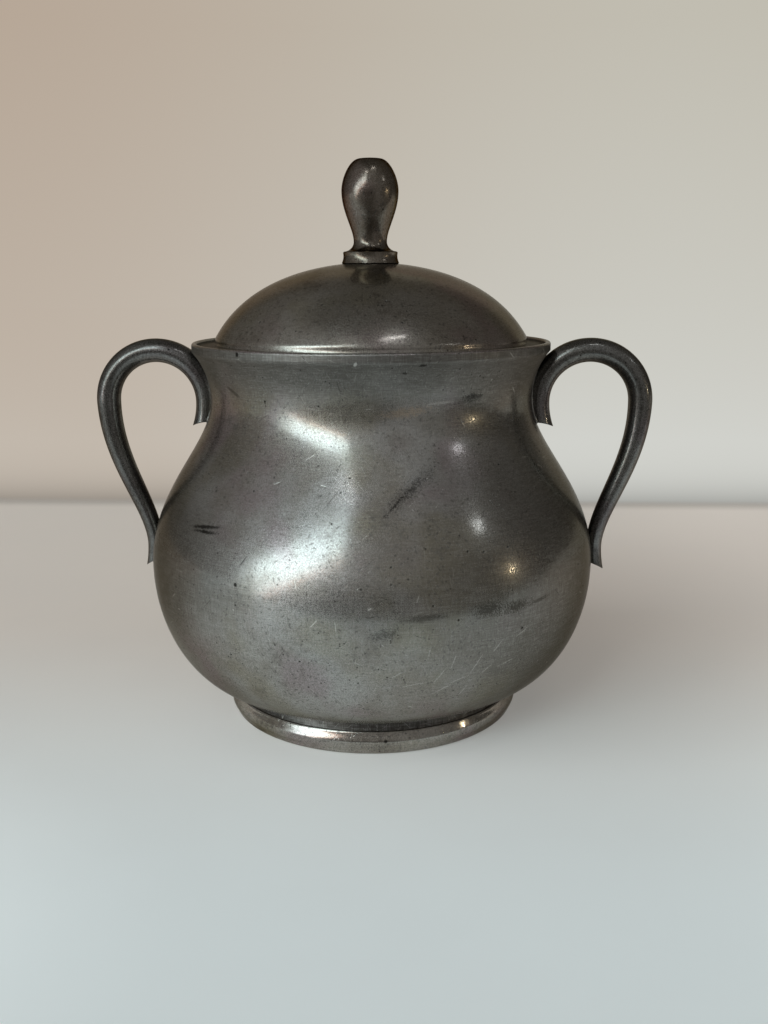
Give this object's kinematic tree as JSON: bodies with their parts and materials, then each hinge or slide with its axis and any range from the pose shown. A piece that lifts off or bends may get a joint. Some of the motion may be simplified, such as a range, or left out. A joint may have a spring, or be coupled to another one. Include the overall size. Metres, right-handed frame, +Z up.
{
  "type": "pewter sugar bowl",
  "caption": "Round-bellied pewter sugar bowl on a foot ring, with scroll handles on opposite sides and a domed lid that lifts off by a pear-shaped knob.",
  "frame": {"origin": "centre of the foot ring on the table the bowl stands on", "axes": "+X through the right handle, +Y to the back, +Z up along the axis that bowl, lid and knob are turned about"},
  "size_m": [0.1254, 0.1, 0.1231],
  "materials": {
    "bowl_pewter": "worn dark pewter with fine lathe lines, nicks and tarnish",
    "foot_pewter": "pewter rubbed bright along the band",
    "handle_pewter": "cast pewter with a near-black patina, rubbed on the outer curve",
    "lid_pewter": "brownish pewter with fine pits",
    "bezel_pewter": "plain turned pewter strip",
    "knob_pewter": "dark handled pewter with a soft gloss",
    "fixing_steel": "dull plated steel"
  },
  "bodies": {
    "bowl": {"bowl_body": "bowl_pewter", "foot_ring": "foot_pewter", "handle_left": "handle_pewter", "handle_right": "handle_pewter"},
    "lid": {"lid_dome": "lid_pewter", "lid_bezel": "bezel_pewter", "knob": "knob_pewter", "knob_screw": "fixing_steel", "screw_washer": "fixing_steel"}
  },
  "joints": [
    {"name": "lid_lift", "type": "slide", "parent": "bowl", "child": "lid", "axis": [0, 0, 1], "range_m": [0, 0.06]}
  ]
}
